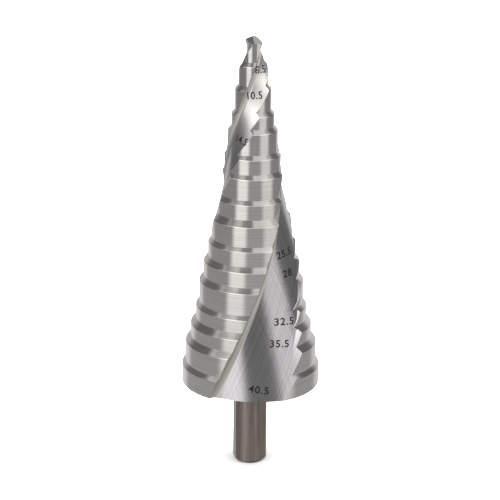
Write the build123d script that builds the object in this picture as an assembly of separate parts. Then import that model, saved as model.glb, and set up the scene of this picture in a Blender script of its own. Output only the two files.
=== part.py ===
from build123d import *
from build123d.topology import SkipClean
import math
import os

# Step drill: one piece of high-speed steel, standing on its shank end with the drill point up.
# Millimetres, +Z up, origin at the centre of the shank end.  Angles are degrees, counted
# counter-clockwise seen from above, and 0 is the front, towards -Y.

# Steps, from the pilot at the top to the widest step at the bottom: (diameter, length).
# A length runs from the shoulder above to the shoulder below, lead-in chamfer included.
STEPS = [
    (6.5, 5.6), (8.5, 6.8), (10.5, 7.3), (12.5, 4.8),
    (14.5, 7.3), (16.5, 5.5), (18.5, 7.3), (20.5, 5.5),
    (23.5, 7.7), (25.5, 5.6), (28.0, 5.9), (30.5, 8.0),
    (32.5, 5.0), (35.5, 5.5), (38.5, 7.8), (40.5, 6.8),
]
LEAD_ANGLE = 40.0        # lead-in chamfer of each step, measured from the axis

# Four-facet drill point on the pilot, its web thinned by a gash beside each lip.
POINT_ANGLE = 130.0      # included angle between the two lips
LIP_CLEARANCE = 13.5     # fall of the primary facet behind its lip
PRIMARY_WIDTH = 0.5      # width of the primary facet beside the axis
HEEL_CLEARANCE = 43.5    # fall of the secondary facet, behind the primary
HEEL_RISE = 6.7          # rise of the secondary facet outward along the lip
WEB_AT_POINT = 1.3       # web left between the two gashes
GASH_ANGLE = 28.0        # slope of a gash from the axis
GASH_SWING = 15.0        # turn of a gash from its lip into the flute

# Two flutes, opposite each other, right-hand, on a helix that tightens with the cone.
FLUTE_COUNT = 2
FLUTE_START = -35.9      # azimuth of the first cutting edge in the base plane
TURN_STEP_COUNT = 200    # steps in which the turn of the helix is added up
HELIX_AT_BASE = 23.6     # helix angle at the widest step
HELIX_AT_POINT = 21.5    # helix angle at the point
DEPTH_AT_BASE = 2.6      # flute depth at the widest step
DEPTH_AT_POINT = 1.55    # flute depth at the point
RAKE_LEAN = 10.0         # lean of the rake face away from a radius
FLOOR_CROWN = 0.12       # rise of the middle of the floor, as a share of the depth
ROOT_FILLET = 0.6        # size of the rounding between rake face and floor, as a share of the depth
HEEL_FACET = 0.9         # radial height of the heel facet
HEEL_SLOPE = 30.0        # slope of the heel facet to the surface that it opens on
HEEL_AT_BASE = 68.0      # angle from the cutting edge to the heel at the widest step
HEEL_AT_POINT = 140.0    # angle from the cutting edge to the heel at the tip
HEEL_OPENING = 8.5       # power by which the heel angle grows towards the tip
SECTION_TURN = 12.0      # turn of the flute from one loft section to the next
OVERCUT = 4.0            # reach of a flute cutter beyond the surface and both ends

# Round shank with three flats for a three-jaw chuck.
SHANK_DIAMETER = 10.0
SHANK_LENGTH = 25.5
SHANK_CHAMFER = 0.9
FLAT_COUNT = 3
FLAT_DEPTH = 0.32        # depth of a flat below the round
FLAT_START = 44.0        # azimuth of the first flat
FLAT_RUNOUT = 5.0        # round length left between the flats and the widest step

base = SHANK_LENGTH      # height of the base plane, the underside of the widest step
shoulder_heights = [base + sum(length for _, length in STEPS)]
for _, length in STEPS:
    shoulder_heights.append(shoulder_heights[-1] - length)
point_corner = shoulder_heights[0]
pilot_radius = STEPS[0][0] / 2
base_radius = STEPS[-1][0] / 2
point_height = pilot_radius * math.tan(math.radians(90 - POINT_ANGLE / 2))
tip = point_corner + point_height
grind_size = 8 * pilot_radius    # blocks that grind the point, well wider than the pilot
flat_length = SHANK_LENGTH - FLAT_RUNOUT
middle_up = (Align.CENTER, Align.CENTER, Align.MIN)


def step_middle(index):
    """Height of the middle of a step."""
    return (shoulder_heights[index] + shoulder_heights[index + 1]) / 2


# Mean cone: the straight line through the middles of the pilot and of the widest step.
cone_slope = (base_radius - pilot_radius) / (step_middle(0) - step_middle(len(STEPS) - 1))


def cone_radius(z):
    """Radius of the mean cone at a height, never under the pilot's."""
    radius = base_radius - cone_slope * (z - step_middle(len(STEPS) - 1))
    return max(radius, pilot_radius)


def between(z, at_base, at_point):
    """Value that changes evenly from the base plane to the tip."""
    return at_base + (at_point - at_base) * (z - base) / (tip - base)


def heel_angle(z):
    """Angle from the cutting edge to the heel, which opens out ever faster towards the point."""
    share = max(0, (z - base) / (tip - base))
    return HEEL_AT_BASE + (HEEL_AT_POINT - HEEL_AT_BASE) * share ** HEEL_OPENING


def turn_rate(z):
    """Turn of the flute for each millimetre of height, in degrees."""
    helix = math.radians(between(z, HELIX_AT_BASE, HELIX_AT_POINT))
    return math.degrees(math.tan(helix) / cone_radius(z))


def flute_azimuth(z):
    """Azimuth of the first cutting edge at a height: the turn rate added up from the base plane."""
    rise = (z - base) / TURN_STEP_COUNT
    middles = [base + rise * (step + 0.5) for step in range(TURN_STEP_COUNT)]
    return FLUTE_START + rise * sum(turn_rate(middle) for middle in middles)


def polar(radius, angle):
    """Point at a radius and an angle counted from the cutting edge."""
    return Vector(radius * math.cos(math.radians(angle)), radius * math.sin(math.radians(angle)))


def flute_section(z):
    """Closed section of the first flute's cutter at a height."""
    radius = cone_radius(z)
    depth = between(z, DEPTH_AT_BASE, DEPTH_AT_POINT)
    heel = heel_angle(z)
    lean = math.tan(math.radians(RAKE_LEAN))
    rake_top = Vector(radius + OVERCUT, -OVERCUT * lean)
    root = Vector(radius - depth, depth * lean)
    up_rake = (rake_top - root).normalized() * depth * ROOT_FILLET
    along_floor = Vector(0, depth * ROOT_FILLET)
    fillet_middle = root + (up_rake + along_floor) * (1 - math.sqrt(0.5))
    floor_middle = polar(radius - depth * (1 - FLOOR_CROWN), heel / 2)
    facet_turn = math.degrees(HEEL_FACET / math.tan(math.radians(HEEL_SLOPE)) / radius)
    facet_low = polar(radius - HEEL_FACET, heel - facet_turn)
    facet_high = polar(radius, heel)
    heel_top = facet_high + (facet_high - facet_low).normalized() * 2 * OVERCUT
    outside = polar(2 * (radius + OVERCUT), heel / 2)
    edges = [
        Line(rake_top, root + up_rake),
        ThreePointArc(root + up_rake, fillet_middle, root + along_floor),
        ThreePointArc(root + along_floor, floor_middle, facet_low),
        Line(facet_low, heel_top),
        Line(heel_top, outside),
        Line(outside, rake_top),
    ]
    return Pos(0, 0, z) * Rot(0, 0, flute_azimuth(z) - 90) * Wire(edges)


def flute_cutter():
    """Cutter of the first flute: a loft through sections along the conical helix."""
    heights = [base - OVERCUT]
    while heights[-1] < tip + OVERCUT:
        heights.append(heights[-1] + SECTION_TURN / turn_rate(heights[-1]))
    return Solid.make_loft([flute_section(z) for z in heights])


def stepped_blank():
    """Turned blank of the pilot and the stepped cone, from one revolved outline."""
    outline = [(0, tip + OVERCUT), (pilot_radius, tip + OVERCUT)]
    for index, (diameter, _) in enumerate(STEPS[:-1]):
        rise = (STEPS[index + 1][0] - diameter) / 2 / math.tan(math.radians(LEAD_ANGLE))
        shoulder = shoulder_heights[index + 1]
        outline.append((diameter / 2, shoulder))
        outline.append((STEPS[index + 1][0] / 2, shoulder - rise))
    outline += [(base_radius, base), (0, base)]
    return revolve(Plane.XZ * make_face(Polyline(*outline, close=True)), Axis.Z)


def above(origin, fall_outward, fall_behind):
    """Space above a plane that falls outward along the lip, +X, and behind it, -Y."""
    normal = (math.tan(math.radians(fall_outward)), -math.tan(math.radians(fall_behind)), 1)
    block = Box(grind_size, grind_size, grind_size, align=middle_up)
    return Plane(origin=origin, z_dir=normal) * block


def point_grind():
    """Everything that grinding one lip takes off the pilot, with the lip along +X."""
    fall = 90 - POINT_ANGLE / 2
    corner = Vector(pilot_radius, 0, point_corner)
    primary = above(corner, fall, LIP_CLEARANCE)
    behind = Vector(0, -PRIMARY_WIDTH, tip - PRIMARY_WIDTH * math.tan(math.radians(LIP_CLEARANCE)))
    secondary = above(behind, -HEEL_RISE, HEEL_CLEARANCE)
    chisel_slope = math.tan(math.radians(fall)) / math.tan(math.radians(LIP_CLEARANCE))
    lip_end = Vector(WEB_AT_POINT / 2 / chisel_slope, WEB_AT_POINT / 2, tip)
    lip = (Vector(pilot_radius, 0, tip) - lip_end).normalized()
    slope = math.radians(GASH_ANGLE)
    along = lip.rotate(Axis.Z, GASH_SWING) * math.sin(slope) - Vector(0, 0, math.cos(slope))
    face_normal = lip.cross(along).normalized()
    outward = along.cross(face_normal).normalized()
    wedge = Box(grind_size, grind_size, grind_size, align=(Align.MIN, Align.CENTER, Align.MIN))
    gash = Plane(origin=lip_end, x_dir=outward, z_dir=face_normal) * wedge
    return [primary, secondary, gash]


def flatted_shank():
    """Shank from its chamfered end to where its flats run out."""
    radius = SHANK_DIAMETER / 2
    chamfer_end = (radius - SHANK_CHAMFER, 0)
    outline = [(0, 0), chamfer_end, (radius, SHANK_CHAMFER), (radius, flat_length), (0, flat_length)]
    turned = revolve(Plane.XZ * make_face(Polyline(*outline, close=True)), Axis.Z)
    block = Box(SHANK_DIAMETER, SHANK_DIAMETER, flat_length, align=(Align.CENTER, Align.MAX, Align.MIN))
    return turned - around([Pos(0, FLAT_DEPTH - radius, 0) * block], FLAT_COUNT, FLAT_START)


def around(cutters, count, start):
    """Copies of cutters at equal turns about the axis."""
    turns = [start + index * 360 / count for index in range(count)]
    return [Rot(0, 0, turn) * cutter for turn in turns for cutter in cutters]


drill = stepped_blank()
for cutter in around(point_grind(), FLUTE_COUNT, flute_azimuth(point_corner) - 90):
    drill -= cutter
drill -= around([flute_cutter()], FLUTE_COUNT, 0)

# Joined without merging faces, the shank keeps one full cylinder face above those between its flats.
with SkipClean():
    drill += Pos(0, 0, flat_length) * Cylinder(SHANK_DIAMETER / 2, FLAT_RUNOUT, align=middle_up)
    drill += flatted_shank()

os.makedirs("parts", exist_ok=True)
export_step(drill, "parts/step_drill.step")
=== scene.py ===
import math

import bmesh
import bpy
from mathutils import Matrix, Vector
from mathutils.bvhtree import BVHTree


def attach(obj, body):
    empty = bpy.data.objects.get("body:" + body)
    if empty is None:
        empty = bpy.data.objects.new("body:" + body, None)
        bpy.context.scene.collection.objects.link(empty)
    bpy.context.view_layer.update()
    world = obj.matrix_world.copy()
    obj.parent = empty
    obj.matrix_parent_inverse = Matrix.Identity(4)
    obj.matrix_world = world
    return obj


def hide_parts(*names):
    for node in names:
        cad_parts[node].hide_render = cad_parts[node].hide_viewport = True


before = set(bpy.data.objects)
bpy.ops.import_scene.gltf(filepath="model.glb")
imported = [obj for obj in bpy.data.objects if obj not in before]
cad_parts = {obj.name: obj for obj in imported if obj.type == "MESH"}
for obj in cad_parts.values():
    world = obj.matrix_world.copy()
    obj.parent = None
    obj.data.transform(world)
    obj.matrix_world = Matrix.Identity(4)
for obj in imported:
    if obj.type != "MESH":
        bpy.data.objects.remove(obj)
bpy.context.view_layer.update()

# ---- Sizes --------------------------------------------------------------------------------

# Sizes of the drill in millimetres, as the CAD has them; azimuths in degrees, 0 at the front (-Y).
MM = 0.001
STEPS = [
    (6.5, 5.6), (8.5, 6.8), (10.5, 7.3), (12.5, 4.8),
    (14.5, 7.3), (16.5, 5.5), (18.5, 7.3), (20.5, 5.5),
    (23.5, 7.7), (25.5, 5.6), (28.0, 5.9), (30.5, 8.0),
    (32.5, 5.0), (35.5, 5.5), (38.5, 7.8), (40.5, 6.8),
]                        # (diameter, length) from the pilot down
LEAD_ANGLE = 40.0        # lead-in chamfer of each step, measured from the axis
EDGE_BREAK = 0.09        # fine chamfer that deburring leaves on each outer corner
POINT_ANGLE = 130.0      # included angle between the two lips
LIP_CLEARANCE = 13.5     # fall of the primary facet behind its lip
PRIMARY_WIDTH = 0.5      # width of the primary facet beside the axis
HEEL_CLEARANCE = 43.5    # fall of the secondary facet, behind the primary
HEEL_RISE = 6.7          # rise of the secondary facet outward along the lip
WEB_AT_POINT = 1.3       # web left between the two gashes
GASH_ANGLE = 28.0        # slope of a gash from the axis
GASH_SWING = 15.0        # turn of a gash from its lip into the flute
GRIND_SIZE = 26.0        # blocks that grind the gashes, well wider than the pilot
FLUTE_START = -35.9      # azimuth of the first cutting edge in the base plane
TURN_STEP_COUNT = 60     # steps in which the turn of the helix is added up
HELIX_AT_BASE, HELIX_AT_POINT = 23.6, 21.5
DEPTH_AT_BASE, DEPTH_AT_POINT = 2.6, 1.55
RAKE_LEAN = 10.0         # lean of the rake face away from a radius
FLOOR_CROWN = 0.12       # rise of the middle of the floor, as a share of the depth
ROOT_FILLET = 0.6        # size of the rounding between rake face and floor, in the same way
HEEL_FACET = 0.9         # radial height of the heel facet
HEEL_SLOPE = 30.0        # slope of the heel facet to the surface that it opens on
HEEL_AT_BASE, HEEL_AT_POINT = 68.0, 140.0    # angle from the cutting edge to the heel
HEEL_OPENING = 8.5       # power by which the heel angle grows towards the tip
SHANK_RADIUS = 5.0
SHANK_CHAMFER = 0.9
FLAT_COUNT = 3
FLAT_DEPTH = 0.32        # depth of a flat below the round
FLAT_START = 44.0        # azimuth of the first flat
FLAT_RUNOUT = 5.0        # round length left between the flats and the widest step

BASE = 25.5              # height of the underside of the widest step
SHOULDERS = [BASE + sum(length for _, length in STEPS)]
for _, length in STEPS:
    SHOULDERS.append(SHOULDERS[-1] - length)
PILOT_RADIUS = STEPS[0][0] / 2
BASE_RADIUS = STEPS[-1][0] / 2
POINT_CORNER = SHOULDERS[0]
TIP = POINT_CORNER + PILOT_RADIUS * math.tan(math.radians(90 - POINT_ANGLE / 2))
BASE_MIDDLE = (SHOULDERS[-2] + SHOULDERS[-1]) / 2
PILOT_MIDDLE = (SHOULDERS[0] + SHOULDERS[1]) / 2
CONE_SLOPE = (BASE_RADIUS - PILOT_RADIUS) / (PILOT_MIDDLE - BASE_MIDDLE)

# Fineness of the mesh: a row of the cone is two halves, each a flute and the land behind it.
ROW_TURN = 1.5           # turn of the flute from one row to the next, in degrees
RAKE_CELLS, ROOT_CELLS, FLOOR_CELLS, FACET_CELLS, LAND_CELLS = 4, 10, 26, 3, 56
FLUTE_CELLS = RAKE_CELLS + ROOT_CELLS + FLOOR_CELLS + FACET_CELLS
HALF_CELLS = FLUTE_CELLS + LAND_CELLS
COLUMNS = 2 * HALF_CELLS
FLAT_CELLS = 20          # cells across a flat of the shank
RUNOUT_CELLS, FLATTED_CELLS = 4, 12    # cells down the round and the flatted length of the shank
TRIM_HALVINGS = 30       # halvings that find where the floor of a flute leaves the steel
STOCK = 2.0              # height above the tip that the point is ground from
CUT_TOLERANCE = 1e-7     # of a ground facet, in metres
SHARP_ANGLE = 9.5        # smallest angle between two faces that shows as an edge, in degrees

# Material slots of the drill's own mesh.
SLOT_COUNT = 5
LAND, FLUTE, SHANK, POINT, RAKE = range(SLOT_COUNT)


# ---- Colours and nodes --------------------------------------------------------------------

def hex_colour(code):
    """Linear colour of an sRGB hex value."""
    parts = [int(code[i:i + 2], 16) / 255 for i in (1, 3, 5)]
    linear = [c / 12.92 if c <= 0.04045 else ((c + 0.055) / 1.055) ** 2.4 for c in parts]
    return (*linear, 1.0)


def new_material(name):
    """Empty node material with its tree."""
    material = bpy.data.materials.new(name)
    material.use_nodes = True
    material.node_tree.nodes.clear()
    return material, material.node_tree


def add(tree, kind, inputs=None, **settings):
    """Adds a node with its settings; an input is a value or another node's output."""
    node = tree.nodes.new(kind)
    for key, value in settings.items():
        setattr(node, key, value)
    for key, value in (inputs or {}).items():
        if isinstance(value, bpy.types.NodeSocket):
            tree.links.new(value, node.inputs[key])
        else:
            node.inputs[key].default_value = value
    return node


def cell_scale(*sizes):
    """Scale of a pattern on metres, from the size of its cells along X, Y and Z in millimetres."""
    return tuple(1 / (size * MM) for size in sizes)


# ---- Shape of the drill -------------------------------------------------------------------

def cone_radius(z):
    """Radius of the mean cone at a height, never under the pilot's."""
    return max(BASE_RADIUS - CONE_SLOPE * (z - BASE_MIDDLE), PILOT_RADIUS)


def between(z, at_base, at_point):
    """Value that changes evenly from the base plane to the tip."""
    return at_base + (at_point - at_base) * (z - BASE) / (TIP - BASE)


def turn_rate(z):
    """Turn of the flute for each millimetre of height, in degrees."""
    helix = math.radians(between(z, HELIX_AT_BASE, HELIX_AT_POINT))
    return math.degrees(math.tan(helix) / cone_radius(z))


def flute_azimuth(z):
    """Azimuth of the first cutting edge at a height: the turn rate added up from the base plane."""
    rise = (z - BASE) / TURN_STEP_COUNT
    middles = [BASE + rise * (step + 0.5) for step in range(TURN_STEP_COUNT)]
    return FLUTE_START + rise * sum(turn_rate(middle) for middle in middles)


def polar(radius, angle):
    """Point at a radius and an angle from +X."""
    return Vector((radius * math.cos(math.radians(angle)), radius * math.sin(math.radians(angle))))


def turned(point, centre, angle):
    """Point turned about a centre, by radians."""
    return centre + Matrix.Rotation(angle, 2) @ (point - centre)


def circle_through(start, middle, end):
    """Centre of the circle through three points, and the turn about it from start to end."""
    (ax, ay), (bx, by), (cx, cy) = start, middle, end
    d = 2 * (ax * (by - cy) + bx * (cy - ay) + cx * (ay - by))
    a, b, c = ax * ax + ay * ay, bx * bx + by * by, cx * cx + cy * cy
    centre = Vector(((a * (by - cy) + b * (cy - ay) + c * (ay - by)) / d,
                     (a * (cx - bx) + b * (ax - cx) + c * (bx - ax)) / d))
    return centre, -(start - centre).angle_signed(end - centre)


def turn_within(radius, start, centre, sweep):
    """Turn of an arc from start, cut short where the arc comes out beyond a radius."""
    inside, outside = 0.0, 1.0
    for _ in range(TRIM_HALVINGS):
        share = (inside + outside) / 2
        if turned(start, centre, sweep * share).length > radius:
            outside = share
        else:
            inside = share
    return sweep * outside


def out_to(radius, start, direction):
    """Point where a line from start first reaches a radius."""
    along = start.dot(direction)
    return start + direction * (math.sqrt(along ** 2 - start.length_squared + radius ** 2) - along)


def arc(start, centre, sweep, count):
    """Evenly spaced points of an arc, its end left out."""
    return [turned(start, centre, sweep * i / count) for i in range(count)]


def evenly(start, end, count):
    """Evenly spaced points of a straight line, its end left out."""
    return [start + (end - start) * i / count for i in range(count)]


def half_section(z, radius_here):
    """One flute and its land at a height, from one cutting edge, near +X, to the next."""
    radius = cone_radius(z)
    depth = between(z, DEPTH_AT_BASE, DEPTH_AT_POINT)
    share = max(0, (z - BASE) / (TIP - BASE))
    heel = HEEL_AT_BASE + (HEEL_AT_POINT - HEEL_AT_BASE) * share ** HEEL_OPENING

    # Rake face, and the rounded root below it.
    lean = math.tan(math.radians(RAKE_LEAN))
    root = Vector((radius - depth, depth * lean))
    up_rake = Vector((1, -lean)).normalized()
    along_floor = Vector((0, 1))
    rounding = depth * ROOT_FILLET
    cutting_edge = out_to(radius_here, root, up_rake)
    rake_low, floor_start = root + up_rake * rounding, root + along_floor * rounding
    root_middle = root + (up_rake + along_floor) * rounding * (1 - math.sqrt(0.5))
    points = evenly(cutting_edge, rake_low, RAKE_CELLS)
    points += arc(rake_low, *circle_through(rake_low, root_middle, floor_start), ROOT_CELLS)

    # Crowned floor and heel facet; a step narrower than the mean cone cuts the floor short.
    facet_turn = math.degrees(HEEL_FACET / math.tan(math.radians(HEEL_SLOPE)) / radius)
    facet_low = polar(radius - HEEL_FACET, heel - facet_turn)
    facet_rise = (polar(radius, heel) - facet_low).normalized()
    floor_middle = polar(radius - depth * (1 - FLOOR_CROWN), heel / 2)
    centre, sweep = circle_through(floor_start, floor_middle, facet_low)
    sweep = turn_within(radius_here - EDGE_BREAK, floor_start, centre, sweep)
    floor_end = turned(floor_start, centre, sweep)
    heel_edge = out_to(radius_here, floor_end, facet_rise)
    points += arc(floor_start, centre, sweep, FLOOR_CELLS)
    points += evenly(floor_end, heel_edge, FACET_CELLS)

    # Land, round to the other cutting edge.
    first = math.degrees(math.atan2(heel_edge.y, heel_edge.x))
    last = 180 + math.degrees(math.atan2(cutting_edge.y, cutting_edge.x))
    points += [polar(radius_here, first + (last - first) * i / LAND_CELLS)
               for i in range(LAND_CELLS)]
    return points


def turned_outline():
    """Heights and radii of the stepped cone from its underside up, outer corners broken."""
    slope = math.radians(LEAD_ANGLE)
    outline = [(BASE, BASE_RADIUS - EDGE_BREAK), (BASE + EDGE_BREAK, BASE_RADIUS)]
    for index in range(len(STEPS) - 1, 0, -1):
        radius, radius_above = STEPS[index][0] / 2, STEPS[index - 1][0] / 2
        corner = SHOULDERS[index] - (radius - radius_above) / math.tan(slope)
        outline += [
            (corner - EDGE_BREAK, radius),
            (corner + EDGE_BREAK * math.cos(slope), radius - EDGE_BREAK * math.sin(slope)),
            (SHOULDERS[index], radius_above),
        ]
    return outline + [(TIP + STOCK, PILOT_RADIUS)]


def mesh_rows():
    """Turned outline divided so that the flute turns little from row to row."""
    rows = []
    outline = turned_outline()
    for (low, low_radius), (high, high_radius) in zip(outline, outline[1:]):
        count = max(1, math.ceil((high - low) * turn_rate(low) / ROW_TURN))
        rows += [(low + (high - low) * i / count,
                  low_radius + (high_radius - low_radius) * i / count) for i in range(count)]
    return rows + [outline[-1]]


def stepped_cone():
    """Vertices, places in the flute, faces and slots of the cone, with stock above its point.

    A place in the flute is in millimetres: across it from the rake face, and along its helix.
    """
    vertices, places, faces, slots = [], [], [], []
    rows = mesh_rows()
    run = 0.0
    for row, (z, radius_here) in enumerate(rows):
        half = half_section(z, radius_here)
        turn = Matrix.Rotation(math.radians(flute_azimuth(z) - 90), 2)
        across = [0.0]
        for point, next_point in zip(half, half[1:]):
            across.append(across[-1] + (next_point - point).length)
        if row:
            climb = z - rows[row - 1][0]
            run += climb / math.cos(math.radians(between(z, HELIX_AT_BASE, HELIX_AT_POINT)))
        for side in (1, -1):
            vertices += [(*(turn @ point * side), z) for point in half]
            places += [(distance - across[RAKE_CELLS], run, 0.0) for distance in across]
    for row in range(len(rows) - 1):
        for i in range(COLUMNS):
            a, b = row * COLUMNS + i, row * COLUMNS + (i + 1) % COLUMNS
            faces.append((a, b, b + COLUMNS, a + COLUMNS))
            cell = i % HALF_CELLS
            if cell < RAKE_CELLS + ROOT_CELLS:
                slots.append(RAKE)
            else:
                slots.append(FLUTE if cell < FLUTE_CELLS else LAND)
    top = (len(rows) - 1) * COLUMNS
    faces.append(tuple(range(top, top + COLUMNS)))
    slots.append(POINT)
    return vertices, places, faces, slots


def shank_rings():
    """Rings of the shank from the cone's underside down, with columns on the edges of its flats."""
    pitch = 360 / FLAT_COUNT
    half_flat = math.degrees(math.acos(1 - FLAT_DEPTH / SHANK_RADIUS))
    columns = []
    for flat in range(FLAT_COUNT):
        middle = FLAT_START + pitch * flat
        round_cells = COLUMNS // FLAT_COUNT - FLAT_CELLS + (1 if flat < COLUMNS % FLAT_COUNT else 0)
        columns += [middle - half_flat + 2 * half_flat * i / FLAT_CELLS for i in range(FLAT_CELLS)]
        columns += [middle + half_flat + (pitch - 2 * half_flat) * i / round_cells
                    for i in range(round_cells)]

    def ring(z, radius, flatted):
        points = []
        for column in columns:
            from_flat = (column - FLAT_START + pitch / 2) % pitch - pitch / 2
            to_flat = (SHANK_RADIUS - FLAT_DEPTH) / math.cos(math.radians(from_flat))
            reach = min(radius, to_flat) if flatted else radius
            points.append((*polar(reach, column - 90), z))
        return points

    flat_top = BASE - FLAT_RUNOUT
    flatted_length = flat_top - SHANK_CHAMFER
    rings = [ring(BASE - FLAT_RUNOUT * i / RUNOUT_CELLS, SHANK_RADIUS, False)
             for i in range(RUNOUT_CELLS + 1)]
    rings += [ring(flat_top - flatted_length * i / FLATTED_CELLS, SHANK_RADIUS, True)
              for i in range(FLATTED_CELLS + 1)]
    return rings + [ring(0, SHANK_RADIUS - SHANK_CHAMFER, True)]


def add_shank(vertices, places, faces, slots):
    """Adds the shank under the first row of the cone, and closes its end."""
    rings = shank_rings()
    first = math.atan2(vertices[0][1], vertices[0][0])
    gaps = [abs((math.atan2(y, x) - first + math.pi) % (2 * math.pi) - math.pi)
            for x, y, _ in rings[0]]
    shift = gaps.index(min(gaps))    # column of the shank under the first of the cone
    upper = list(range(COLUMNS))
    for ring_points in rings:
        start = len(vertices)
        vertices += ring_points
        places += [(0.0, 0.0, 0.0)] * COLUMNS
        lower = [start + (i + shift) % COLUMNS for i in range(COLUMNS)]
        for i in range(COLUMNS):
            j = (i + 1) % COLUMNS
            faces.append((lower[i], lower[j], upper[j], upper[i]))
            slots.append(SHANK)
        upper = lower
    faces.append(tuple(reversed(upper)))
    slots.append(SHANK)


def drill_mesh():
    """Whole drill in one closed mesh, still with stock above the point."""
    vertices, places, faces, slots = stepped_cone()
    add_shank(vertices, places, faces, slots)
    mesh = bpy.data.meshes.new("step_drill_steel")
    mesh.from_pydata([Vector(vertex) * MM for vertex in vertices], [], faces)
    mesh.polygons.foreach_set("material_index", slots)
    mesh.attributes.new("flute_place", "FLOAT_VECTOR", "POINT")
    flat_places = [value for place in places for value in place]
    mesh.attributes["flute_place"].data.foreach_set("vector", flat_places)
    return mesh


def grind_away(mesh, origin, normal):
    """Cuts everything off in front of a plane and closes the cut."""
    work = bmesh.new()
    work.from_mesh(mesh)
    everything = work.verts[:] + work.edges[:] + work.faces[:]
    bmesh.ops.bisect_plane(work, geom=everything, plane_co=origin * MM, plane_no=normal,
                           clear_outer=True, dist=CUT_TOLERANCE)
    open_edges = [edge for edge in work.edges if edge.is_boundary]
    for face in bmesh.ops.holes_fill(work, edges=open_edges, sides=0)["faces"]:
        face.material_index = POINT
    work.to_mesh(mesh)
    work.free()


def block(name, origin, x_axis, z_axis):
    """Block that grinds a gash: the middle of one edge is at origin, its cut takes slot POINT."""
    y_axis = z_axis.cross(x_axis)
    corners = [origin + GRIND_SIZE * (x_axis * x + y_axis * (y - 0.5) + z_axis * z)
               for x in (0, 1) for y in (0, 1) for z in (0, 1)]
    faces = [(0, 1, 3, 2), (4, 6, 7, 5), (0, 4, 5, 1), (2, 3, 7, 6), (0, 2, 6, 4), (1, 5, 7, 3)]
    mesh = bpy.data.meshes.new(name)
    mesh.from_pydata([corner * MM for corner in corners], [], faces)
    for _ in range(SLOT_COUNT):
        mesh.materials.append(None)
    for face in mesh.polygons:
        face.material_index = POINT
    cutter = bpy.data.objects.new(name, mesh)
    bpy.context.scene.collection.objects.link(cutter)
    return cutter


def grind_point(piece):
    """Four facets and two gashes, ground as the CAD has them."""
    fall = math.tan(math.radians(90 - POINT_ANGLE / 2))
    clearance = math.tan(math.radians(LIP_CLEARANCE))
    lip_corner = Vector((PILOT_RADIUS, 0, POINT_CORNER))
    behind = Vector((0, -PRIMARY_WIDTH, TIP - PRIMARY_WIDTH * clearance))
    heel_rise = math.tan(math.radians(HEEL_RISE))
    heel_clearance = math.tan(math.radians(HEEL_CLEARANCE))
    facets = [
        (lip_corner, Vector((fall, -clearance, 1))),
        (behind, Vector((-heel_rise, -heel_clearance, 1))),
    ]                    # (point on it, direction out of it), primary and secondary
    lip_end = Vector((WEB_AT_POINT / 2 / (fall / clearance), WEB_AT_POINT / 2, TIP))
    lip = (Vector((PILOT_RADIUS, 0, TIP)) - lip_end).normalized()
    slope = math.radians(GASH_ANGLE)
    swung = Matrix.Rotation(math.radians(GASH_SWING), 3, "Z") @ lip
    along = swung * math.sin(slope) - Vector((0, 0, math.cos(slope)))
    face_normal = lip.cross(along).normalized()
    outward = along.cross(face_normal).normalized()
    gashes = []
    for side in (0, 180):
        turn = Matrix.Rotation(math.radians(flute_azimuth(POINT_CORNER) - 90 + side), 3, "Z")
        for origin, normal in facets:
            grind_away(piece.data, turn @ origin, turn @ normal)
        gashes.append(block("gash", turn @ lip_end, turn @ outward, turn @ face_normal))
    for gash in gashes:
        modifier = piece.modifiers.new("gash", "BOOLEAN")
        modifier.operation = "DIFFERENCE"
        modifier.solver = "EXACT"
        modifier.object = gash
    ground = piece.evaluated_get(bpy.context.evaluated_depsgraph_get())
    piece.data = bpy.data.meshes.new_from_object(ground)
    piece.modifiers.clear()
    for gash in gashes:
        bpy.data.objects.remove(gash)


drill = bpy.data.objects.new("step_drill_ground", drill_mesh())
bpy.context.scene.collection.objects.link(drill)
for _ in range(SLOT_COUNT):
    drill.data.materials.append(None)
grind_point(drill)
drill.data.shade_smooth()
drill.data.set_sharp_from_angle(angle=math.radians(SHARP_ANGLE))
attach(drill, "root")
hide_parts("step_drill")

# ---- Numbers in the flutes ----------------------------------------------------------------

# Step diameters, lasered: (number, height, azimuth, turn and width of the writing).
NUMBERS = [
    ("8.5", 120.0, 49.0, -2.0, 0.95),
    ("10.5", 112.9, 4.0, 4.0, 0.85),
    ("14.5", 100.2, -32.0, -8.0, 0.88),
    ("25.5", 66.9, 55.2, 4.0, 1.15),
    ("28", 61.1, 54.9, 2.0, 1.2),
    ("32.5", 47.8, 39.6, -5.0, 1.2),
    ("35.5", 41.7, 31.0, -6.0, 1.1),
    ("40.5", 28.9, 8.0, -7.0, 1.05),
]
DIGIT_HEIGHT = 2.1
DIGIT_SHARE = 0.7        # height of a digit as a share of the font's size
DIGIT_SPACING = 1.12     # spacing of the digits, as a share of the font's own
STROKE_SWELL = 0.025     # what the laser widens each side of a stroke, as a share of the height
CURVE_FINENESS = 4       # cells to each curve of a digit
DIGIT_MERGE = 0.001      # points of a digit closer than this are one
GRID = 0.4               # widest cell of a number, so that it bends with the flute
GRID_LINES = 20          # grid lines to each side of a number's middle
GRID_TOLERANCE = 1e-5    # of a grid line, in millimetres
CLEAR_RADIUS = 40.0      # radius that is well clear of the drill
MOST_VERTICES = 10000    # more than any number has
DROP = 1.5               # height above the steel that a point of a number is dropped from
FILM_TOP, FILM_BOTTOM = 0.012, -0.03    # heights of the film's two sides above the steel


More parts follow.
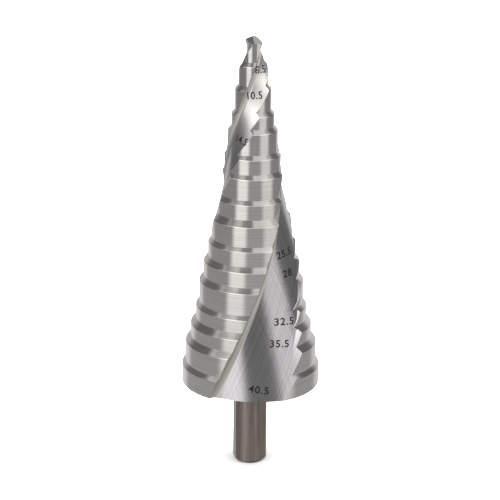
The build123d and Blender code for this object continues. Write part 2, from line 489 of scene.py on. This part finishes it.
def flat_number(text):
    """Number as a flat mesh in millimetres, its middle at the origin, cut into small cells."""
    curve = bpy.data.curves.new("number", "FONT")
    curve.body = text
    curve.size = DIGIT_HEIGHT / DIGIT_SHARE
    curve.align_x = "CENTER"
    curve.align_y = "CENTER"
    curve.space_character = DIGIT_SPACING
    curve.offset = DIGIT_HEIGHT * STROKE_SWELL
    curve.resolution_u = CURVE_FINENESS
    writing = bpy.data.objects.new("number", curve)
    bpy.context.scene.collection.objects.link(writing)
    evaluated = writing.evaluated_get(bpy.context.evaluated_depsgraph_get())
    digits = bmesh.new()
    digits.from_mesh(bpy.data.meshes.new_from_object(evaluated))
    bpy.data.objects.remove(writing)
    bmesh.ops.remove_doubles(digits, verts=digits.verts[:], dist=DIGIT_MERGE)
    for axis in (Vector((1, 0, 0)), Vector((0, 1, 0))):
        for line in range(-GRID_LINES, GRID_LINES + 1):
            everything = digits.verts[:] + digits.edges[:] + digits.faces[:]
            bmesh.ops.bisect_plane(digits, geom=everything, plane_co=axis * line * GRID,
                                   plane_no=axis, dist=GRID_TOLERANCE)
    return digits


def lowest_corners(face):
    """Sorting key of a face, because an extrusion leaves its faces in a new order each run."""
    key = 0
    for index in sorted(vertex.index for vertex in face.verts)[:3]:
        key = key * MOST_VERTICES + index
    return key


def lay_in_flute(digits, skin, z, azimuth, turn, width):
    """Bends a flat number on to the steel, as a thin closed film in metres."""
    outward = Vector((*polar(1, azimuth - 90), 0))
    outside = (outward * CLEAR_RADIUS + Vector((0, 0, z))) * MM
    centre, normal, _, _ = skin.ray_cast(outside, -outward)
    across = Vector((0, 0, 1)).cross(normal).normalized()
    across = Matrix.Rotation(math.radians(turn), 3, normal) @ across
    up = normal.cross(across)
    lower = digits.verts[:]
    shell = bmesh.ops.extrude_face_region(digits, geom=digits.faces[:], use_keep_orig=True)
    upper = {item for item in shell["geom"] if isinstance(item, bmesh.types.BMVert)}
    for group, lift in ((lower, FILM_BOTTOM), (upper, FILM_TOP)):
        for vertex in group:
            over = across * vertex.co.x * width + up * vertex.co.y + normal * DROP
            hit, facing, _, _ = skin.ray_cast(centre + over * MM, -normal)
            vertex.co = hit + facing * lift * MM
    bmesh.ops.recalc_face_normals(digits, faces=digits.faces[:])
    digits.verts.index_update()
    digits.faces.sort(key=lowest_corners)


def laser_marks(numbers, steel_surface):
    """Thin closed film in the shape of the numbers, laid on the steel."""
    skin = BVHTree.FromObject(steel_surface, bpy.context.evaluated_depsgraph_get())
    film = bmesh.new()
    for text, z, azimuth, turn, width in numbers:
        digits = flat_number(text)
        lay_in_flute(digits, skin, z, azimuth, turn, width)
        laid = bpy.data.meshes.new("number")
        digits.to_mesh(laid)
        digits.free()
        film.from_mesh(laid)
    mesh = bpy.data.meshes.new("diameter_numbers")
    film.to_mesh(mesh)
    film.free()
    return mesh


marks = bpy.data.objects.new("diameter_numbers", laser_marks(NUMBERS, drill))
bpy.context.scene.collection.objects.link(marks)
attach(marks, "root")

# ---- Finishes -----------------------------------------------------------------------------

NOISE_SPREAD = {"From Min": 0.3, "From Max": 0.7}    # nearly all values of a noise lie between
GROOVE_DEPTH = 0.02 * MM                             # deepest groove that the grinding leaves

# High-speed steel, hardened and ground round on its steps.  The rings of the grind spread each
# reflection up and down and leave faint lines round the drill.
land, tree = new_material("ground_high_speed_steel")
place = add(tree, "ShaderNodeTexCoord").outputs["Object"]
# Rings of the real grind are some 0.05 mm apart; these are as coarse as they need to be to show.
ring_place = add(tree, "ShaderNodeMapping", {"Vector": place, "Scale": cell_scale(50, 50, 0.4)})
rings = add(tree, "ShaderNodeTexNoise", {
    "Vector": ring_place.outputs["Vector"], "Scale": 1.0, "Detail": 3.0})
patch_place = add(tree, "ShaderNodeMapping", {"Vector": place, "Scale": cell_scale(8, 8, 3)})
patches = add(tree, "ShaderNodeTexNoise", {"Vector": patch_place.outputs["Vector"], "Scale": 1.0})
tone = add(tree, "ShaderNodeMapRange", {"Value": rings.outputs["Fac"], **NOISE_SPREAD})
colour = add(tree, "ShaderNodeMix", {
    "Factor": tone.outputs["Result"], "A": hex_colour("#d0cbc7"), "B": hex_colour("#dcd8d5")},
    data_type="RGBA")
gloss = add(tree, "ShaderNodeMapRange", {
    "Value": patches.outputs["Fac"], **NOISE_SPREAD, "To Min": 0.15, "To Max": 0.21})
grooves = add(tree, "ShaderNodeBump", {
    "Height": rings.outputs["Fac"], "Strength": 0.08, "Distance": GROOVE_DEPTH})
round_the_axis = add(tree, "ShaderNodeTangent", direction_type="RADIAL", axis="Z")
shader = add(tree, "ShaderNodeBsdfPrincipled", {
    "Base Color": colour.outputs["Result"], "Metallic": 1.0, "Roughness": gloss.outputs["Result"],
    "Anisotropic": 0.75, "Anisotropic Rotation": 0.25, "Tangent": round_the_axis.outputs["Tangent"],
    "Normal": grooves.outputs["Normal"]})
add(tree, "ShaderNodeOutputMaterial", {"Surface": shader.outputs["BSDF"]})

# The same steel, ground along the flute by a wheel, with a fine cross grain from its dressing.
# Streaks and grain lie 0.3 mm apart, coarser than the real ones, so that they show.
flute, tree = new_material("flute_ground_high_speed_steel")
place = add(tree, "ShaderNodeAttribute", attribute_name="flute_place").outputs["Vector"]
streak_place = add(tree, "ShaderNodeMapping", {"Vector": place, "Scale": (1 / 0.3, 1 / 50.0, 1.0)})
streaks = add(tree, "ShaderNodeTexNoise", {
    "Vector": streak_place.outputs["Vector"], "Scale": 1.0, "Detail": 3.0})
grain_place = add(tree, "ShaderNodeMapping", {
    "Vector": place, "Rotation": (0.0, 0.0, math.radians(-38))})
grain_stretch = add(tree, "ShaderNodeMapping", {
    "Vector": grain_place.outputs["Vector"], "Scale": (1 / 0.3, 1 / 60.0, 1.0)})
grain = add(tree, "ShaderNodeTexNoise", {
    "Vector": grain_stretch.outputs["Vector"], "Scale": 1.0, "Detail": 2.0})
marks_of_wheel = add(tree, "ShaderNodeMix", {
    "Factor": 0.45, "A": streaks.outputs["Fac"], "B": grain.outputs["Fac"]})
tone = add(tree, "ShaderNodeMapRange", {
    "Value": marks_of_wheel.outputs["Result"], "From Min": 0.35, "From Max": 0.65})
colour = add(tree, "ShaderNodeMix", {
    "Factor": tone.outputs["Result"], "A": hex_colour("#b9b5b8"), "B": hex_colour("#dddadd")},
    data_type="RGBA")
grooves = add(tree, "ShaderNodeBump", {
    "Height": marks_of_wheel.outputs["Result"], "Strength": 0.4, "Distance": GROOVE_DEPTH})
# Towards the point the flute is finished by the rim of the wheel, which leaves it paler and more
# matt: the change starts 94 mm up and is complete at 112 mm.
height = add(tree, "ShaderNodeSeparateXYZ", {
    "Vector": add(tree, "ShaderNodeTexCoord").outputs["Object"]})
near_point = add(tree, "ShaderNodeMapRange", {
    "Value": height.outputs["Z"], "From Min": 94 * MM, "From Max": 112 * MM})
gloss = add(tree, "ShaderNodeMapRange", {
    "Value": near_point.outputs["Result"], "To Min": 0.2, "To Max": 0.42})
colour = add(tree, "ShaderNodeMix", {
    "Factor": near_point.outputs["Result"], "A": colour.outputs["Result"],
    "B": hex_colour("#ece9e5")}, data_type="RGBA")
shader = add(tree, "ShaderNodeBsdfPrincipled", {
    "Base Color": colour.outputs["Result"], "Metallic": 1.0, "Roughness": gloss.outputs["Result"],
    "Normal": grooves.outputs["Normal"]})
add(tree, "ShaderNodeOutputMaterial", {"Surface": shader.outputs["BSDF"]})

# Rake face and root of the flute: the same steel left rougher, where the wheel's corner ground it.
rake, tree = new_material("wheel_corner_ground_steel")
place = add(tree, "ShaderNodeAttribute", attribute_name="flute_place").outputs["Vector"]
streak_place = add(tree, "ShaderNodeMapping", {"Vector": place, "Scale": (1 / 0.2, 1 / 50.0, 1.0)})
streaks = add(tree, "ShaderNodeTexNoise", {
    "Vector": streak_place.outputs["Vector"], "Scale": 1.0, "Detail": 3.0})
tone = add(tree, "ShaderNodeMapRange", {"Value": streaks.outputs["Fac"], **NOISE_SPREAD})
colour = add(tree, "ShaderNodeMix", {
    "Factor": tone.outputs["Result"], "A": hex_colour("#c3c1bb"), "B": hex_colour("#dddbd6")},
    data_type="RGBA")
shader = add(tree, "ShaderNodeBsdfPrincipled", {
    "Base Color": colour.outputs["Result"], "Metallic": 1.0, "Roughness": 0.45})
add(tree, "ShaderNodeOutputMaterial", {"Surface": shader.outputs["BSDF"]})

# Shank: the same steel left darker from heat treatment, only lightly ground along its length.
shank, tree = new_material("dark_tempered_steel")
place = add(tree, "ShaderNodeTexCoord").outputs["Object"]
scratch_place = add(tree, "ShaderNodeMapping", {
    "Vector": place, "Scale": cell_scale(0.7, 0.7, 12)})
scratches = add(tree, "ShaderNodeTexNoise", {
    "Vector": scratch_place.outputs["Vector"], "Scale": 1.0, "Detail": 3.0})
tone = add(tree, "ShaderNodeMapRange", {"Value": scratches.outputs["Fac"], **NOISE_SPREAD})
colour = add(tree, "ShaderNodeMix", {
    "Factor": tone.outputs["Result"], "A": hex_colour("#857b75"), "B": hex_colour("#9c928b")},
    data_type="RGBA")
shader = add(tree, "ShaderNodeBsdfPrincipled", {
    "Base Color": colour.outputs["Result"], "Metallic": 1.0, "Roughness": 0.33})
add(tree, "ShaderNodeOutputMaterial", {"Surface": shader.outputs["BSDF"]})

# Point: the same steel, its facets ground smooth.
point, tree = new_material("point_ground_high_speed_steel")
place = add(tree, "ShaderNodeTexCoord").outputs["Object"]
scratch_place = add(tree, "ShaderNodeMapping", {
    "Vector": place, "Rotation": (0.0, 0.0, 0.6), "Scale": cell_scale(0.4, 4, 4)})
scratches = add(tree, "ShaderNodeTexNoise", {
    "Vector": scratch_place.outputs["Vector"], "Scale": 1.0})
tone = add(tree, "ShaderNodeMapRange", {"Value": scratches.outputs["Fac"], **NOISE_SPREAD})
colour = add(tree, "ShaderNodeMix", {
    "Factor": tone.outputs["Result"], "A": hex_colour("#cbc7c2"), "B": hex_colour("#e4e1dd")},
    data_type="RGBA")
shader = add(tree, "ShaderNodeBsdfPrincipled", {
    "Base Color": colour.outputs["Result"], "Metallic": 1.0, "Roughness": 0.22})
add(tree, "ShaderNodeOutputMaterial", {"Surface": shader.outputs["BSDF"]})

for slot, material in ((LAND, land), (FLUTE, flute), (SHANK, shank), (POINT, point), (RAKE, rake)):
    drill.data.materials[slot] = material

# Numbers: a laser darkens the steel to a matt oxide film, flush with the flute.
oxide, tree = new_material("laser_darkened_steel")
place = add(tree, "ShaderNodeTexCoord").outputs["Object"]
film_place = add(tree, "ShaderNodeMapping", {
    "Vector": place, "Scale": cell_scale(0.3, 0.3, 0.3)})
film = add(tree, "ShaderNodeTexNoise", {"Vector": film_place.outputs["Vector"], "Scale": 1.0})
colour = add(tree, "ShaderNodeMix", {
    "Factor": film.outputs["Fac"], "A": hex_colour("#0b0a0c"), "B": hex_colour("#1e1c1f")},
    data_type="RGBA")
shader = add(tree, "ShaderNodeBsdfPrincipled", {
    "Base Color": colour.outputs["Result"], "Roughness": 0.6, "Specular IOR Level": 0.15})
add(tree, "ShaderNodeOutputMaterial", {"Surface": shader.outputs["BSDF"]})
marks.data.materials.append(oxide)

# Seamless white paper under the drill; the steel reflects the studio's panels and not the paper.
PAPER_REACH = 3.0        # half its width, in metres
paper, tree = new_material("white_paper")
shader = add(tree, "ShaderNodeBsdfPrincipled", {
    "Base Color": hex_colour("#ffffff"), "Roughness": 0.9, "Specular IOR Level": 0.0})
add(tree, "ShaderNodeOutputMaterial", {"Surface": shader.outputs["BSDF"]})
corners = [(x * PAPER_REACH, y * PAPER_REACH, 0) for x, y in ((-1, -1), (1, -1), (1, 1), (-1, 1))]
floor_mesh = bpy.data.meshes.new("floor")
floor_mesh.from_pydata(corners, [], [(0, 1, 2, 3)])
floor = bpy.data.objects.new("floor", floor_mesh)
bpy.context.scene.collection.objects.link(floor)
floor_mesh.materials.append(paper)
floor.visible_glossy = False

# ---- Studio light -------------------------------------------------------------------------

# Soft panels round the drill: (middle azimuth, half width, lowest and highest elevation, softness
# of the border, brightness), the first five in degrees.  Azimuths run from -180 to 180, so a
# panel behind the drill is written once for each side of it.
PANELS = [
    (-35, 19, -22, 50, 7, 1.0),       # front left, the brightest
    (55, 21, -22, 50, 9, 0.67),       # front right
    (5, 92, 13, 44, 5, 0.85),         # long strip across the front, higher than both
    (46, 41, 44, 85, 7, 0.6),         # high on the right
    (-58, 17, 46, 78, 6, 0.4),        # high on the left
    (-8, 26, 62, 85, 6, 0.15),        # faint, high between them
    (180, 42, -40, 40, 10, 0.55),     # behind, right half
    (-180, 44, -40, 40, 10, 0.38),    # behind, left half
    (180, 55, 44, 85, 8, 0.4),        # high behind, right half
    (-180, 45, 48, 85, 8, 0.4),       # high behind, left half
    (-20, 160, -85, -16, 8, 0.28),    # low, nearly all round, as from the table
    (6, 24, -70, -14, 8, 0.12),       # low at the front
]
ROOM = 0.17              # brightness of the dark room between the panels
PAPER_WHITE = 1.0        # brightness of the backdrop that the camera sees
world = bpy.data.worlds.new("studio")
world.use_nodes = True
tree = world.node_tree
tree.nodes.clear()
towards = add(tree, "ShaderNodeSeparateXYZ", {
    "Vector": add(tree, "ShaderNodeTexCoord").outputs["Generated"]})
to_front = add(tree, "ShaderNodeMath", {0: towards.outputs["Y"], 1: -1.0}, operation="MULTIPLY")
around_axis = add(tree, "ShaderNodeMath", {0: towards.outputs["X"], 1: to_front.outputs[0]},
                  operation="ARCTAN2")
upward = add(tree, "ShaderNodeMath", {0: towards.outputs["Z"]}, operation="ARCSINE")
azimuth = add(tree, "ShaderNodeMath", {0: around_axis.outputs[0]}, operation="DEGREES")
elevation = add(tree, "ShaderNodeMath", {0: upward.outputs[0]}, operation="DEGREES")
light = ROOM
for middle, half_width, low, high, softness, brightness in PANELS:
    shine = brightness
    for angle, edge, side in ((azimuth, middle - half_width, 1), (azimuth, middle + half_width, -1),
                              (elevation, low, 1), (elevation, high, -1)):
        border = add(tree, "ShaderNodeMapRange", {
            "Value": angle.outputs[0],
            "From Min": edge - side * softness, "From Max": edge + side * softness},
            interpolation_type="SMOOTHSTEP")
        lit = add(tree, "ShaderNodeMath", {0: border.outputs["Result"], 1: shine},
                  operation="MULTIPLY")
        shine = lit.outputs[0]
    light = add(tree, "ShaderNodeMath", {0: shine, 1: light}, operation="ADD").outputs[0]
seen = add(tree, "ShaderNodeLightPath").outputs["Is Camera Ray"]
backdrop = add(tree, "ShaderNodeMix", {"Factor": seen, "A": light, "B": PAPER_WHITE})
background = add(tree, "ShaderNodeBackground", {
    "Color": hex_colour("#ffffff"), "Strength": backdrop.outputs["Result"]})
add(tree, "ShaderNodeOutputWorld", {"Surface": background.outputs["Background"]})
bpy.context.scene.world = world

# Overhead panel that whitens the paper; it is kept out of the steel's reflections.
OVERHEAD_WIDTH, OVERHEAD_HEIGHT = 2.4, 1.6    # in metres
OVERHEAD_POWER = 110                          # in watts
overhead_light = bpy.data.lights.new("overhead", "AREA")
overhead_light.shape = "RECTANGLE"
overhead_light.size, overhead_light.size_y = OVERHEAD_WIDTH, OVERHEAD_WIDTH
overhead_light.energy = OVERHEAD_POWER
overhead = bpy.data.objects.new("overhead", overhead_light)
overhead.location = (0, 0, OVERHEAD_HEIGHT)
overhead.visible_glossy = False
bpy.context.scene.collection.objects.link(overhead)

# ---- Camera -------------------------------------------------------------------------------

CAMERA_DISTANCE = 600.0    # in front of the axis
CAMERA_HEIGHT = 236.24     # above the underside of the widest step
SENSOR_WIDTH, FOCAL_LENGTH = 36, 155.76
NEAREST_SEEN = 50.0
CAMERA_PITCH = 0.3158      # below the level, in radians: 18.1 degrees
CAMERA_YAW, CAMERA_ROLL = 0.0008, 0.010
camera_data = bpy.data.cameras.new("camera")
camera_data.sensor_width = SENSOR_WIDTH
camera_data.lens = FOCAL_LENGTH
camera_data.clip_start = NEAREST_SEEN * MM
camera = bpy.data.objects.new("camera", camera_data)
camera.location = (0, -CAMERA_DISTANCE * MM, (CAMERA_HEIGHT + BASE) * MM)
aim = (Matrix.Rotation(CAMERA_YAW, 3, "Z") @ Matrix.Rotation(math.pi / 2 - CAMERA_PITCH, 3, "X")
       @ Matrix.Rotation(CAMERA_ROLL, 3, "Z"))
camera.rotation_euler = aim.to_euler()
bpy.context.scene.collection.objects.link(camera)
bpy.context.scene.camera = camera
bpy.context.scene.view_settings.view_transform = "Standard"
